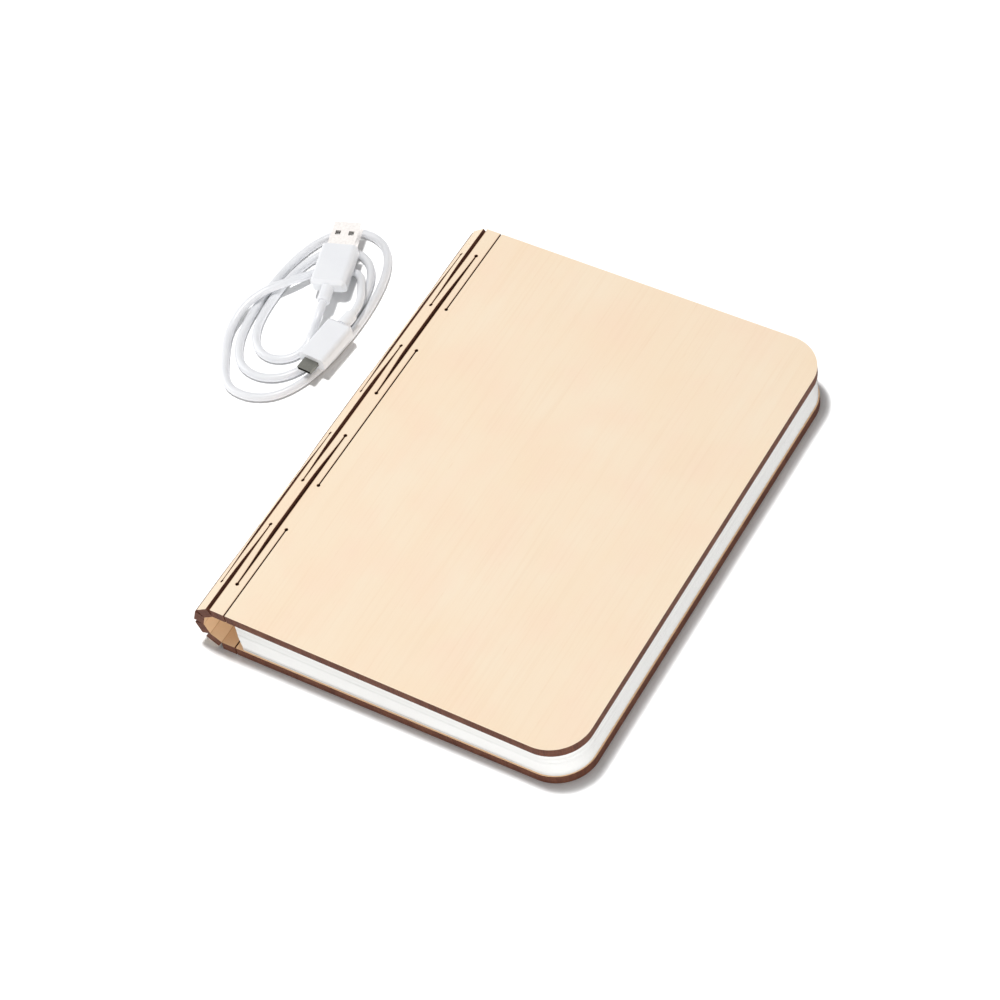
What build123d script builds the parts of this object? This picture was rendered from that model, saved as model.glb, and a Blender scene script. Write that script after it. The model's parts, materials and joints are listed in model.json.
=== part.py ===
from build123d import *
import os
from math import cos, pi, radians, sin, sqrt, tan

# Folding book lamp. Two wooden boards and a slit spine close over a block of
# folded paper leaves; a lit bar lies along the spine and a charging lead lies
# beside the book. Millimetres. +X from the spine to the fore-edge, +Y along
# the spine, +Z up. The rear cover lies on the surface, and the origin is under
# the middle of the closed book.

# ---- boards -----------------------------------------------------------------
spine_length = 215.0        # along the spine
cover_length = 161.0        # from the outermost fold line to the fore-edge
board = 4.5                 # thickness of the boards and of the spine slats
corner_r = 17.0             # fore-edge corners

# ---- slit pattern of the spine ------------------------------------------------
pitch = 3.5                 # from one row of slits to the next
slit = 0.5                  # width of a cut that only twists
fold_gap = 1.42             # width of a cut whose two sides lean over
dot_d = 1.2                 # burnt dot at the end of a cut
end_web = 15.0              # uncut wood at both ends of every second row
web = 24.0                  # uncut wood between two cuts of a row
quarter = 57.5              # from the spine's end to the web of a row cut at its ends
zone_gap = 0.3              # between slats of neighbouring groups, end to end

# ---- folding ------------------------------------------------------------------
folds = 10                  # rows of wood that twist between the covers
closed_turn = 181.3         # all folds together, closed
bend = closed_turn / folds

# ---- paper --------------------------------------------------------------------
leaf_count = folds - 1      # a leaf for each group of spine slats, which turns with it
leaf = 0.6                  # a folded leaf
end_sheet = 0.4             # the sheet glued to each cover
page_start = 10.5           # from the rear fold line to the leaves' inner edges
page_inset = 2.0            # leaves inside the covers' ends and fore-edge

# ---- lit bar --------------------------------------------------------------------
bar_length = 180.0
bar_r = 6.3
bar_wall = 1.1
bar_height = 8.0            # bar's centre above the inner face of the spine
split_gap = 0.05            # between the housing and the diffuser
cap = 2.0                   # end caps
cap_spigot = 3.0
spigot_gap = 0.1
pcb = (9.6, 1.0)            # width, thickness of the light board
pcb_rise = 0.6              # board's top above the bar's centre
ledge = 0.9                 # width of the two ledges that carry the board
led = (2.8, 3.5, 0.9)       # across, along, tall
led_count = 12
led_span = 150.0            # from the first light to the last
cell = (7.2, 62.0, 3.1)     # flat rechargeable cell: across, along, thick
charger = (7.4, 14.0, 0.8)  # charging board
socket = (7.4, 5.4, 2.6)    # charging socket
socket_wall = 0.3
socket_stands_back = 0.4    # behind the far cap's outer face
socket_drop = 1.4           # socket's middle below the ledges' top
stack_gap = 0.05            # between the pieces stacked in the bar
sensor = (2.9, 1.6, 1.1)
saddle = (5.0, 9.0)         # across, along
saddle_offset = 11.0        # a saddle either side of each web of the middle row

# ---- magnets ----------------------------------------------------------------------
magnet_d = 8.0
magnet = 2.0                # thickness
magnet_gap = 0.05           # round the magnet in its pocket
magnet_inset = 14.0         # from the fore-edge
magnet_end = 42.0           # from the covers' ends
trigger_d = 5.0             # the magnet that works the bar's sensor
trigger_x = 24.0            # from the fold line

# ---- charging lead ------------------------------------------------------------------
lead_d = 3.6
turns = 2.12
turn_points = 16
coil_centre = (-62.5, 163.5)    # from the rear fold line and the near end
coil_half = (17.0, 30.0)        # first turn: half its width and length
coil_growth = (4.6, 11.4)       # added over each turn
coil_squareness = 2.35          # 2 is an ellipse
plug_axis_z = 8.6
usb_body = (16.0, 22.0, 7.5)
usb_shell = (12.0, 14.0, 4.5)
usb_shell_wall = 0.35
usb_tongue = (10.6, 12.0, 1.9)
usb_relief = (5.6, 8.0)         # diameter, length
usb_at = (-57.0, 172.0)         # back face of the plug's body
usb_heading = 107.0
micro_body = (13.0, 22.0, 6.5)
micro_shell = (6.9, 5.6, 1.9)
micro_shell_wall = 0.3
micro_relief = (5.6, 7.0)
micro_at = (-39.8, 156.5)
micro_heading = 266.0
straight_out = 6.2              # the lead runs straight out of a strain relief


def row_x(row):
    """A row of slits in the flat spine; row 0 is the rear fold line."""
    return -row * pitch


def fold_axis(fold):
    """Centre of the twisting strip of one fold, 1 next to the rear cover."""
    return (1.5 - fold) * pitch


def folded(count, turn=bend):
    """Where wood that lies beyond so many folds goes when the book closes."""
    place = Location()
    for fold in range(1, count + 1):
        axis = Pos(fold_axis(fold), 0, board / 2)
        place = place * axis * Rot(0, turn, 0) * axis.inverse()
    return place


last_row = folds - 2
front_place = folded(folds)


def corner_x(group, x, z):
    return (folded(group) * Pos(x, 0, z)).position.X


spine_left = min(
    corner_x(group, row_x(group) + side * (2 * pitch - fold_gap / 2), 0)
    for group in range(1, folds)
    for side in (0, 1)
)
book_middle = (spine_left + cover_length) / 2
standing = Pos(-book_middle, 0, 0)

# ---- wood ---------------------------------------------------------------------------
# Rows of cuts come in two kinds: tied at both ends and in the middle, or open
# at both ends and joined at two webs between.
half = spine_length / 2
zone_1 = (end_web + quarter - web / 2) / 2
zone_2 = (quarter + web / 2 + half - web / 2) / 2

end_zones = [
    (-half, -half + zone_1 - zone_gap / 2),
    (-half + zone_2 + zone_gap / 2, half - zone_2 - zone_gap / 2),
    (half - zone_1 + zone_gap / 2, half),
]
web_zones = [
    (-half + zone_1 + zone_gap / 2, -half + zone_2 - zone_gap / 2),
    (half - zone_2 + zone_gap / 2, half - zone_1 - zone_gap / 2),
]
tied_cuts = [(-half + end_web, -web / 2), (web / 2, half - end_web)]
open_cuts = [
    (-half, -half + quarter - web / 2),
    (-half + quarter + web / 2, half - quarter - web / 2),
    (half - quarter + web / 2, half),
]


def block(x0, x1, y0, y1, z0, z1):
    middle = Pos((x0 + x1) / 2, (y0 + y1) / 2, (z0 + z1) / 2)
    return middle * Box(x1 - x0, y1 - y0, z1 - z0)


def cut_row(x, cuts):
    """Narrow cuts through the board with a burnt dot at each inner end."""
    tools = []
    for y0, y1 in cuts:
        tools.append(block(x - slit / 2, x + slit / 2, y0, y1, -1, board + 1))
        for y in (y0, y1):
            if abs(abs(y) - half) > dot_d:
                tools.append(Pos(x, y, board / 2) * Cylinder(dot_d / 2, board + 2))
    return tools


def within(cuts, zone):
    """The stretches of a row's cuts that lie in one zone."""
    inside = [(max(a, zone[0] - 1), min(b, zone[1] + 1)) for a, b in cuts]
    return [(a, b) for a, b in inside if b - a > 1]


def slats(group):
    """One group of slats: two strips wide, joined by the webs of its middle row."""
    zones, cuts = (web_zones, open_cuts) if group % 2 else (end_zones, tied_cuts)
    x0, x1 = row_x(group) + fold_gap / 2, row_x(group - 2) - fold_gap / 2
    pieces = []
    for zone in zones:
        wood = block(x0, x1, *zone, 0, board)
        tools = cut_row(row_x(group - 1), within(cuts, zone))
        pieces.append(wood - tools)
    return pieces


def cover_outline(length, inset=0.0, radius=corner_r):
    """A board from the fold line to the fore-edge, drawn on the XY plane."""
    width = spine_length - 2 * inset
    plate = Pos(length / 2, 0) * Rectangle(length, width)
    return fillet(plate.vertices().filter_by(lambda v: v.X > length / 2), radius)


def magnet_spots():
    x = cover_length - magnet_inset
    return [(x, -half + magnet_end), (x, half - magnet_end)]


def cover():
    """A cover, inner face up, with the fold line at X 0."""
    wood = extrude(cover_outline(cover_length), board)
    for zone in end_zones:
        wood -= block(-1, fold_gap / 2, *zone, -1, board + 1)
    for zone in web_zones:
        wood -= block(-1, pitch + fold_gap / 2, zone[0] - zone_gap, zone[1] + zone_gap,
                      -1, board + 1)
    for zone in end_zones:
        for tool in cut_row(pitch, within(tied_cuts, zone)):
            wood -= tool
    for tool in cut_row(2 * pitch, open_cuts):
        wood -= tool
    pocket = magnet + magnet_gap
    for x, y in magnet_spots():
        wood -= Pos(x, y, board - pocket / 2) * Cylinder(magnet_d / 2 + magnet_gap, pocket)
    return wood


def magnets():
    z = board - magnet / 2 - magnet_gap / 2
    return [Pos(x, y, z) * Cylinder(magnet_d / 2, magnet) for x, y in magnet_spots()]


page_end = cover_length - page_inset
page_outline = Pos(page_start, 0) * cover_outline(
    page_end - page_start, page_inset, corner_r - page_inset
)


def glued_sheet():
    return Pos(0, 0, board) * extrude(page_outline, end_sheet)


# The front cover is the rear cover's mirror image beyond the last row.
mirrored = Pos(row_x(last_row), 0, 0)


def for_front(piece):
    return front_place * mirrored * piece.mirror(Plane.YZ)


trigger_pocket = Pos(trigger_x, 0, board - magnet / 2) * Cylinder(
    trigger_d / 2 + magnet_gap, magnet + 2 * magnet_gap
)
trigger = Pos(trigger_x, 0, board - magnet / 2 - magnet_gap / 2) * Cylinder(
    trigger_d / 2, magnet
)

# ---- leaves ---------------------------------------------------------------------------
# The inner faces of the covers meet in a line far beyond the fore-edge; the
# leaves share out the small angle between them.
front_face = (front_place * Pos(row_x(last_row), 0, board)).position
wedge = closed_turn - 180
apex_x = front_face.X + (front_face.Z - board) / tan(radians(wedge))
leaf_step = wedge / (leaf_count + 1)


def leaf_place(number):
    return Pos(apex_x, 0, board) * Rot(0, number * leaf_step, 0) * Pos(-apex_x, 0, 0)


def page_leaf(number):
    flat = extrude(page_outline, leaf / 2, both=True)
    return leaf_place(number) * flat


# ---- lit bar ---------------------------------------------------------------------------
# Drawn in the flat spine's frame, over the middle slats, with the light upward.
bar_group = folds // 2
bar_x = row_x(bar_group - 1)
bar_z = board + bar_height
bar_place = folded(bar_group)
bar_end = bar_length / 2


def rod(radius, y0, y1):
    middle = Pos(bar_x, (y0 + y1) / 2, bar_z)
    return middle * Rot(90, 0, 0) * Cylinder(radius, y1 - y0)


def bar_box(width, z0, z1, y0, y1, x=0.0):
    return block(bar_x + x - width / 2, bar_x + x + width / 2, y0, y1, bar_z + z0, bar_z + z1)


def half_tube(low, high):
    shell = rod(bar_r, -bar_end, bar_end) - rod(bar_r - bar_wall, -bar_end - 1, bar_end + 1)
    return shell & bar_box(4 * bar_r, low, high, -bar_end, bar_end)


pcb_top = pcb_rise
ledge_top = pcb_top - pcb[1]
ledge_thick = 1.0
board_reach = bar_end - cap_spigot - 0.5


def bar_housing():
    """Lower half of the bar, with a ledge along each side for the board."""
    trough = half_tube(-2 * bar_r, -split_gap)
    bore = rod(bar_r - bar_wall / 2, -bar_end, bar_end)
    rails = bar_box(4 * bar_r, ledge_top - ledge_thick, ledge_top, -board_reach, board_reach)
    rails -= bar_box(pcb[0] - 2 * ledge, -bar_r, bar_r, -bar_end, bar_end)
    return trough + (rails & bore)


def bar_diffuser():
    return half_tube(split_gap, 2 * bar_r)


def end_cap(side):
    """A disc that closes the bar, with a spigot inside the tube."""
    y = side * bar_end
    face = rod(bar_r, min(y, y + side * cap), max(y, y + side * cap))
    plug = rod(bar_r - bar_wall - spigot_gap, min(y, y - side * cap_spigot),
               max(y, y - side * cap_spigot))
    plug -= rod(bar_r - 2 * bar_wall - spigot_gap, min(y, y - side * cap_spigot) - 1,
                max(y, y - side * cap_spigot) + 1)
    return face + plug


socket_z = ledge_top - socket_drop
socket_y1 = bar_end + cap - socket_stands_back


def charging_socket():
    y0, y1 = socket_y1 - socket[1], socket_y1
    z0, z1 = socket_z - socket[2] / 2, socket_z + socket[2] / 2
    shell = bar_box(socket[0], z0, z1, y0, y1)
    wall = socket_wall
    mouth = bar_box(socket[0] - 2 * wall, z0 + wall, z1 - wall, y0 + wall, y1 + 1)
    tongue = bar_box(3.6, socket_z - 0.3, socket_z + 0.3, y0, y1 - 1.2)
    return shell - mouth + tongue


def socket_hole():
    z0, z1 = socket_z - socket[2] / 2 - stack_gap, socket_z + socket[2] / 2 + stack_gap
    return bar_box(socket[0] + 2 * stack_gap, z0, z1, bar_end - cap_spigot - 1, bar_end + cap + 1)


def light_board():
    return bar_box(pcb[0], ledge_top, pcb_top, -board_reach, board_reach)


def lights():
    step = led_span / (led_count - 1)
    spots = [-led_span / 2 + step * n for n in range(led_count)]
    return [
        bar_box(led[0], pcb_top, pcb_top + led[2], y - led[1] / 2, y + led[1] / 2)
        for y in spots
    ]


cell_top = ledge_top - stack_gap


def saddles():
    """Four blocks glued to the middle slats, hollowed to the bar's round back."""
    pieces = []
    for web_y in (-half + quarter, half - quarter):
        for side in (-1, 1):
            y = web_y + side * saddle_offset
            foot = block(bar_x - saddle[0] / 2, bar_x + saddle[0] / 2,
                         y - saddle[1] / 2, y + saddle[1] / 2, board, bar_z)
            pieces.append(foot - rod(bar_r, y - saddle[1], y + saddle[1]))
    return pieces


# ---- charging lead ----------------------------------------------------------------------
# Its points are measured from the rear fold line and the near end of the spine.
lead_z = lead_d / 2


def oval(angle, half_width, half_length):
    power = 2 / coil_squareness
    c, s = cos(angle), sin(angle)
    x = half_width * abs(c) ** power * (1 if c > 0 else -1)
    y = half_length * abs(s) ** power * (1 if s > 0 else -1)
    return x, y


def coil_points():
    """Turns that grow steadily, from the near end round by the left."""
    points = []
    for step in range(1, int(turns * turn_points) + 1):
        share = step / turn_points
        x, y = oval(-pi / 2 - 2 * pi * share,
                    coil_half[0] + coil_growth[0] * share,
                    coil_half[1] + coil_growth[1] * share)
        points.append((coil_centre[0] + x, coil_centre[1] + y, lead_z))
    return points


def plug_place(at, heading):
    """Plugs are drawn along +Y from the back face of the body."""
    return Pos(at[0], at[1], plug_axis_z) * Rot(0, 0, heading - 90)


def route_end(at, heading, relief):
    """Where the lead meets a strain relief, and where it starts to curve."""
    place = plug_place(at, heading)
    face = (place * Pos(0, -relief[1], 0)).position
    out = (place * Pos(0, -relief[1] - straight_out, 0)).position
    return tuple(face), tuple(out)


usb_face, usb_out = route_end(usb_at, usb_heading, usb_relief)
micro_face, micro_out = route_end(micro_at, micro_heading, micro_relief)

# From the large plug down to the surface, and into the first turn.
usb_tail = [
    usb_face,
    usb_out,
    (-52.3, 149.8, 3.9),
    (-51.7, 144.3, 2.2),
    (-53.7, 138.3, lead_z),
    (-58.5, 134.2, lead_z),
    (-64.2, 133.0, lead_z),
]
# From the last turn over two strands on the left and inside to the small plug.
micro_tail = [
    (-85.6, 132.5, lead_z),
    (-88.4, 141.5, 2.6),
    (-88.0, 150.5, 4.8),
    (-84.9, 158.6, 6.2),
    (-80.2, 165.8, 6.3),
    (-75.4, 172.4, 5.4),
    (-71.8, 178.8, 3.4),
    (-68.4, 184.6, 2.3),
    (-61.9, 188.5, 2.1),
    (-55.0, 188.7, 2.5),
    (-49.1, 185.6, 4.5),
    (-45.7, 180.5, 6.2),
    micro_out,
    micro_face,
]


def midpoint(a, b):
    return tuple((p + q) / 2 for p, q in zip(a, b))


def corner_radii(points):
    """Arcs as large as their two straight runs allow."""
    radii = []
    for a, b, c in zip(points, points[1:], points[2:]):
        into, out = Vector(*b) - Vector(*a), Vector(*c) - Vector(*b)
        turn = radians(into.get_angle(out))
        radii.append(0.45 * min(into.length, out.length) / tan(turn / 2))
    return radii


def tube(points, radii):
    path = FilletPolyline(*points, radius=radii)
    section = Plane(origin=path @ 0, z_dir=path % 0) * Circle(lead_d / 2)
    return sweep(section, path=path)


coil = coil_points()
route = usb_tail + coil + micro_tail
route_radii = corner_radii(route)
coil_from, coil_to = len(usb_tail), len(usb_tail) + len(coil)
coil_start = midpoint(*route[coil_from - 1:coil_from + 1])
coil_finish = midpoint(*route[coil_to - 1:coil_to + 1])
stretches = {
    "lead_usb_tail": (usb_tail + [coil_start], route_radii[:coil_from - 1]),
    "lead_coil": ([coil_start] + coil + [coil_finish], route_radii[coil_from - 1:coil_to - 1]),
    "lead_micro_tail": ([coil_finish] + micro_tail, route_radii[coil_to - 1:]),
}


def relief(size):
    """The smooth sleeve behind a plug's body, rounded at its free end."""
    diameter, length = size
    sleeve = Pos(0, -length / 2, 0) * Rot(90, 0, 0) * Cylinder(diameter / 2, length)
    return fillet(sleeve.edges().sort_by(Axis.Y)[0], (diameter - lead_d) / 2 * 0.8)


def plug_body(size, taper):
    width, length, height = size
    body = Pos(0, length / 2, 0) * Box(width, length, height)
    body = fillet(body.edges().filter_by(Axis.Y), height * 0.3)
    return chamfer(body.faces().sort_by(Axis.Y)[0].edges(), taper)


def plug_shell(size, wall, start):
    width, length, height = size
    middle = Pos(0, start + length / 2, 0)
    tube = middle * Box(width, length, height)
    return tube - Pos(0, wall, 0) * middle * Box(width - 2 * wall, length, height - 2 * wall)


def usb_shell_piece():
    shell = plug_shell(usb_shell, usb_shell_wall, usb_body[1])
    for side in (-1, 1):
        window = Pos(side * 3.0, usb_body[1] + usb_shell[1] * 0.55, 0)
        shell -= window * Box(2.4, 2.4, usb_shell[2] * 2)
    return shell


def usb_tongue_piece():
    width, length, thick = usb_tongue
    z = -usb_shell[2] / 2 + usb_shell_wall + thick / 2
    return Pos(0, usb_body[1] + usb_shell_wall + length / 2, z) * Box(width, length, thick)


# ---- every piece in its place -------------------------------------------------------------
pieces = {}


def keep(name, shapes):
    shapes = shapes if isinstance(shapes, list) else [shapes]
    solids = [solid for shape in shapes for solid in shape.solids()]
    pieces[name] = [standing * solid for solid in solids]


rear = cover()
keep("rear_cover", rear)
keep("front_cover", for_front(rear - trigger_pocket))
for group in range(1, folds):
    keep(f"spine_slats_{group}", [folded(group) * piece for piece in slats(group)])
keep("rear_magnets", magnets())
keep("front_magnets", [for_front(piece) for piece in magnets()])
keep("trigger_magnet", for_front(trigger))
keep("rear_glued_sheet", glued_sheet())
keep("front_glued_sheet", for_front(glued_sheet()))
for number in range(1, leaf_count + 1):
    keep(f"leaf_{number:02d}", page_leaf(number))

keep("bar_housing", bar_place * bar_housing())
keep("bar_diffuser", bar_place * bar_diffuser())
keep("bar_near_cap", bar_place * end_cap(-1))
keep("bar_far_cap", bar_place * (end_cap(1) - socket_hole()))
keep("charging_socket", bar_place * charging_socket())
keep("light_board", bar_place * light_board())
keep("lights", [bar_place * piece for piece in lights()])
keep("opening_sensor", bar_place * bar_box(
    sensor[0], pcb_top, pcb_top + sensor[2], -sensor[1] / 2, sensor[1] / 2))
keep("battery_cell", bar_place * bar_box(
    cell[0], cell_top - cell[2], cell_top, -cell[1] / 2, cell[1] / 2))
charger_y1 = socket_y1 - socket[1]
keep("charging_board", bar_place * bar_box(
    charger[0], cell_top - charger[2], cell_top, charger_y1 - charger[1], charger_y1))
keep("bar_saddles", [bar_place * piece for piece in saddles()])

beside = Pos(0, -half, 0)
for name, (points, radii) in stretches.items():
    keep(name, beside * tube(points, radii))
usb_place = beside * plug_place(usb_at, usb_heading)
keep("usb_plug_body", usb_place * plug_body(usb_body, 1.6))
keep("usb_plug_shell", usb_place * usb_shell_piece())
keep("usb_plug_tongue", usb_place * usb_tongue_piece())
keep("usb_plug_relief", usb_place * relief(usb_relief))
micro_place = beside * plug_place(micro_at, micro_heading)
keep("micro_plug_body", micro_place * plug_body(micro_body, 1.4))
keep("micro_plug_shell", micro_place * plug_shell(
    micro_shell, micro_shell_wall, micro_body[1]))
keep("micro_plug_relief", micro_place * relief(micro_relief))


def lead_report():
    """Arc radii, length and the least gap between strands of the lead."""
    path = FilletPolyline(*route, radius=route_radii)
    count = 900
    spots = [path @ (n / count) for n in range(count + 1)]
    step = path.length / count
    apart = int(4 * lead_d / step)
    least = min(
        sqrt((a.X - b.X) ** 2 + (a.Y - b.Y) ** 2 + (a.Z - b.Z) ** 2)
        for n, a in enumerate(spots)
        for b in spots[n + apart:]
    )
    print(f"lead: {path.length:.1f} mm long, least gap to itself {least - lead_d:.2f} mm")
    for name, (_, radii) in stretches.items():
        print(f"  {name}: arc radii " + " ".join(f"{radius:.1f}" for radius in radii))


if __name__ == "__main__":
    os.makedirs("parts", exist_ok=True)
    for name, solids in pieces.items():
        shape = solids[0] if len(solids) == 1 else Compound(children=solids)
        export_step(shape, f"parts/{name}.step")
    lead_report()
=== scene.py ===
# %% [markdown]
# The folding book lamp lies closed beside its charging lead. Two plywood covers are joined by a
# spine that is cut into twisting strips, and a block of folded paper leaves is held between
# them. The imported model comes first. It is the frame that every piece below is built in, in
# metres, with +X from the spine to the fore-edge, +Y along the spine and +Z up.

# %% The frame
import json
from math import cos, degrees, pi, radians, sin, sqrt

import bmesh
import bpy
from mathutils import Matrix, Vector, noise


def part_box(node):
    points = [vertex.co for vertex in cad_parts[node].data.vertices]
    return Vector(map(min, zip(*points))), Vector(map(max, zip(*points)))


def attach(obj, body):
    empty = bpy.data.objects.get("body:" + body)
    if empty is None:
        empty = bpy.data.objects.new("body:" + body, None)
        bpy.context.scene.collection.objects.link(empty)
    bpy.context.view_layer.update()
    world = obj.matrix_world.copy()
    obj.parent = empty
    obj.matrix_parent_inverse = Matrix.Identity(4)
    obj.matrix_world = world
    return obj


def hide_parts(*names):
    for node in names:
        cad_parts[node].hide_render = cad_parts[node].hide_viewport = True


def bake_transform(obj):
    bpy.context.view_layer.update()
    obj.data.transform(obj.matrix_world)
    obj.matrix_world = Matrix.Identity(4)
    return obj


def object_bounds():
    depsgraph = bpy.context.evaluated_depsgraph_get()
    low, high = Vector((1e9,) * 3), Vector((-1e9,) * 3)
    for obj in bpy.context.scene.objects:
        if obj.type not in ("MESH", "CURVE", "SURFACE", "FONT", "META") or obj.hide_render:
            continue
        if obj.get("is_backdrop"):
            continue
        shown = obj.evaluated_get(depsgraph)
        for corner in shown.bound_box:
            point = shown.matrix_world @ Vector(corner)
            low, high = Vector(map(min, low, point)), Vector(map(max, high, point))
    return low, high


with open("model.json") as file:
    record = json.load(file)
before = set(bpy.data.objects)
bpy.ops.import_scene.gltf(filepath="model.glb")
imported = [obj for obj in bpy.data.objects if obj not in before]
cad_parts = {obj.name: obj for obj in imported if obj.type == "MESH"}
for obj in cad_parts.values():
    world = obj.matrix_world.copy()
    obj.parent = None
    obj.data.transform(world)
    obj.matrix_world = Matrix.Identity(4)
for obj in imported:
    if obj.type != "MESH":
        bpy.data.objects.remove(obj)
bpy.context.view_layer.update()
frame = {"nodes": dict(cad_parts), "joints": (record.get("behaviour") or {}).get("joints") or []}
nodes = frame["nodes"]
joints = {joint["name"]: joint for joint in frame["joints"]}
scene = bpy.context.scene
scene.view_settings.view_transform = "Standard"

# %% [markdown]
# The camera looks down at the lamp from the near right, from so far that the covers' edges stay
# almost parallel. A long lens does that. The angles, the distance and the lens were fitted to
# the corners and edges of the lamp, so they are kept as they came out. The roll turns the
# picture a little, because the spine runs up to the right.

# %% Camera
azimuth, elevation, roll = radians(40.71), radians(51.47), radians(-13.30)
camera_distance = 1.2067
camera_focus = Vector((-0.0050, -0.0060, 0.0120))
focal_length = 109.46
sensor_width = 36.0

back = Vector((sin(azimuth) * cos(elevation), -cos(azimuth) * cos(elevation), sin(elevation)))
level = Vector((cos(azimuth), sin(azimuth), 0))
upright = back.cross(level)
right = level * cos(roll) + upright * sin(roll)
up = upright * cos(roll) - level * sin(roll)

camera = bpy.data.objects.new("camera", bpy.data.cameras.new("camera"))
camera.data.lens = focal_length
camera.data.sensor_width = sensor_width
camera.data.clip_start, camera.data.clip_end = 0.05, 20
camera.matrix_world = Matrix.Translation(camera_focus + back * camera_distance) @ Matrix(
    (right, up, back)).transposed().to_4x4()
scene.collection.objects.link(camera)
scene.camera = camera
print(f"camera: {focal_length} mm lens, {camera_distance} m away")

# %% [markdown]
# Shader maths reads best as plain expressions. This small class wraps one output of a node and
# overloads the signs, so that 1 - mask or grain * 0.3 adds the Math node by itself. Any other
# node comes from its add method, which sets the node's settings first and then its sockets.


# %% Shader maths
class Wire:
    """One output socket. Sums, differences and products of wires add their own Math nodes."""

    def __init__(self, socket):
        self.socket = socket

    def add(self, kind, settings, inputs, output=0):
        """A new node in the same tree: its settings, then values or wires for its sockets."""
        tree = self.socket.id_data
        made = tree.nodes.new("ShaderNode" + kind)
        for name, value in settings.items():
            if name == "stops":
                set_stops(made.color_ramp.elements, value)
            else:
                setattr(made, name, value)
        for name, value in inputs.items():
            if isinstance(value, Wire):
                tree.links.new(value.socket, made.inputs[name])
            else:
                made.inputs[name].default_value = value
        return Wire(made.outputs[output])

    def math(self, operation, *values):
        return self.add("Math", {"operation": operation}, dict(enumerate(values)))

    def __add__(self, other):
        return self.math("ADD", self, other)

    def __sub__(self, other):
        return self.math("SUBTRACT", self, other)

    def __rsub__(self, other):
        return self.math("SUBTRACT", other, self)

    def __mul__(self, other):
        return self.math("MULTIPLY", self, other)

    __radd__ = __add__
    __rmul__ = __mul__


def set_stops(elements, stops):
    """Gives a colour ramp these stops, each a position and a grey value."""
    elements.remove(elements[1])
    elements[0].position = stops[0][0]
    elements[0].color = (*[stops[0][1]] * 3, 1)
    for position, value in stops[1:]:
        elements.new(position).color = (*[value] * 3, 1)


print("wires take the signs + - and *")

# %% [markdown]
# A material here is one Principled shader. Values that are the same all over it are set on the
# shader's own sockets, and only what varies is linked. A few helpers cover nearly all of it: a
# mix of two colours, noise stretched along an axis, a ramp that sharpens it, and a bump.


# %% Material helpers
def new_finish(name, **constants):
    """A material with one Principled shader, and a first wire to build from."""
    material = bpy.data.materials.new(name)
    material.use_nodes = True
    shader = material.node_tree.nodes["Principled BSDF"]
    for socket, value in constants.items():
        shader.inputs[socket.replace("_", " ")].default_value = value
    return material, Wire(shader.outputs[0])


def feed(material, socket, wire):
    """Links a wire to a socket of the material's shader."""
    shader = material.node_tree.nodes["Principled BSDF"]
    material.node_tree.links.new(wire.socket, shader.inputs[socket])


def colour(*rgb):
    return (*rgb, 1)


def mixed(share, first, second):
    """A colour between two, by a share from 0 to 1."""
    return share.add("Mix", {"data_type": "RGBA"}, {0: share, 6: first, 7: second}, 2)


def stretched(place, scale):
    """A position scaled by its own factor along each axis."""
    return place.add("VectorMath", {"operation": "MULTIPLY"}, {0: place, 1: scale}, 0)


def noise_at(place, scale, detail=4.0, rough=0.55):
    inputs = {"Vector": place, "Scale": scale, "Detail": detail, "Roughness": rough}
    return place.add("TexNoise", {}, inputs, 0)


def ramp(value, *stops):
    return value.add("ValToRGB", {"stops": stops}, {"Fac": value}, 0)


def bumped(height, strength, distance):
    return height.add("Bump", {}, {"Strength": strength, "Distance": distance, "Height": height})


print("material helpers: mixed, stretched, noise_at, ramp, bumped")

# %% [markdown]
# The lamp lies on pure white. A bright white world alone would do that, but it would wash out
# the shadows. Light Path tells the world which kind of ray asks for light, so the camera, mirror
# reflections and clear parts see a strength of 1, which is white, and the lamp gets a weaker
# fill.

# %% World
fill_strength = 0.36
world = bpy.data.worlds.new("studio")
world.use_nodes = True
scene.world = world
backdrop = world.node_tree.nodes["Background"]
backdrop.inputs["Color"].default_value = colour(1, 1, 1)
sky = Wire(backdrop.outputs[0])
seen = sky.add("LightPath", {}, {}, "Is Camera Ray")
for ray in ("Is Glossy Ray", "Is Transmission Ray"):
    seen = seen.math("MAXIMUM", seen, sky.add("LightPath", {}, {}, ray))
world.node_tree.links.new((fill_strength + seen * (1 - fill_strength)).socket,
                          backdrop.inputs["Strength"])
print("world: fill strength", fill_strength)

# %% [markdown]
# The lamp throws a thin dark shadow on its near and right sides. A soft light hangs almost
# straight above, a little to the left and behind, so the shadows are short. A second one beside
# it is for the floor. A low one from the near right lights the edges, and another the spine. A
# sun could throw the same shadows, but the place and the width of a disc can be tuned one by
# one, until the shadows' length and their soft rims fit.


# %% Lights
def soft_light(name, place, aim, width, power):
    """A disc of light that faces a point."""
    lamp = bpy.data.lights.new(name, "AREA")
    lamp.shape = "DISK"
    lamp.size = width
    lamp.energy = power
    made = bpy.data.objects.new(name, lamp)
    made.location = place
    made.rotation_mode = "QUATERNION"
    made.rotation_quaternion = (Vector(place) - Vector(aim)).to_track_quat("Z", "Y")
    scene.collection.objects.link(made)
    return made


overhead = 1.5
ground, lamp_middle = (0, 0, 0), (0, 0, 0.01)
soft_light("key_light", place=(-0.15, 0.07, overhead), aim=ground, width=0.22, power=10.3)
floor_light = soft_light("floor_light", place=(-0.21, 0.09, overhead), aim=ground,
                         width=0.15, power=13.5)
near_light = soft_light("near_light", place=(0.9, -1.15, 0.4), aim=lamp_middle,
                        width=0.8, power=10.2)
left_light = soft_light("left_light", place=(-1.2, -0.2, 0.5), aim=lamp_middle,
                        width=0.8, power=5.0)

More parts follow.
